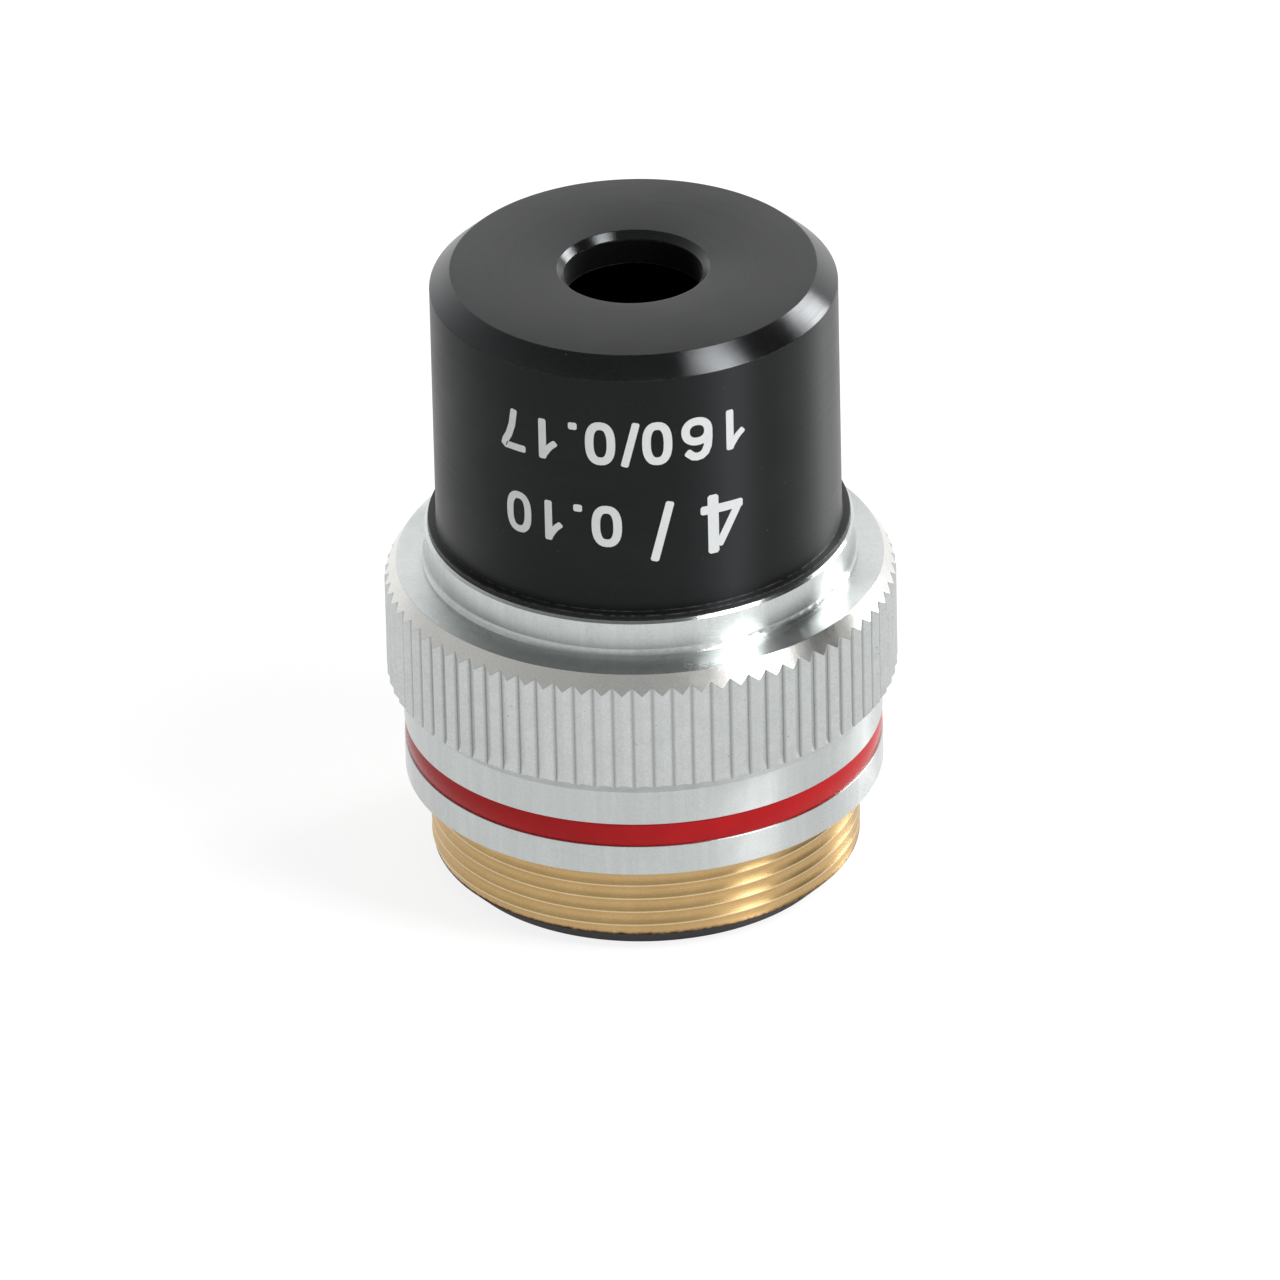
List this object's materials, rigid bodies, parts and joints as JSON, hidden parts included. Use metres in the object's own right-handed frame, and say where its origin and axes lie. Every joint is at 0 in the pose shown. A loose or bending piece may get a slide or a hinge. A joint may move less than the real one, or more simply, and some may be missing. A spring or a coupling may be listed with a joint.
{
  "type": "microscope objective",
  "caption": "Low-power achromatic microscope objective: black chamfered barrel on a knurled aluminium ring with a red band, with a standard brass mount thread.",
  "frame": {"origin": "centre of the rear end of the mount thread, on the surface that the part stands on", "axes": "+Z along the optical axis, from the mount thread towards the nose and the specimen"},
  "size_m": [0.024, 0.024, 0.031],
  "materials": {
    "barrel_black": "satin black anodised",
    "collar_aluminium": "bright turned",
    "grip_aluminium": "fine turned, matte straight knurl",
    "red_enamel": "glossy red enamel",
    "thread_brass": "machined brass, lead chamfer blackened",
    "blackened_brass": "chemically blackened",
    "shim_brass": "rolled",
    "screw_steel": "bright",
    "crown_glass": "polished, coated",
    "flint_glass": "polished, coated"
  },
  "bodies": {
    "root": {"thread_mount": "thread_brass", "rear_stop_ring": "blackened_brass", "grip_ring": "grip_aluminium", "colour_ring": "red_enamel", "collar_sleeve": "collar_aluminium", "front_barrel": "barrel_black", "lens_cell": "blackened_brass", "crown_element": "crown_glass", "flint_element": "flint_glass", "stop_spacer": "blackened_brass", "aperture_stop": "blackened_brass", "lens_retaining_ring": "blackened_brass", "parfocal_shim_1": "shim_brass", "parfocal_shim_2": "shim_brass", "parfocal_shim_3": "shim_brass", "cell_lock_ring": "blackened_brass", "centring_screw_1": "screw_steel", "centring_screw_2": "screw_steel", "centring_screw_3": "screw_steel", "glare_stop": "blackened_brass"}
  },
  "joints": []
}
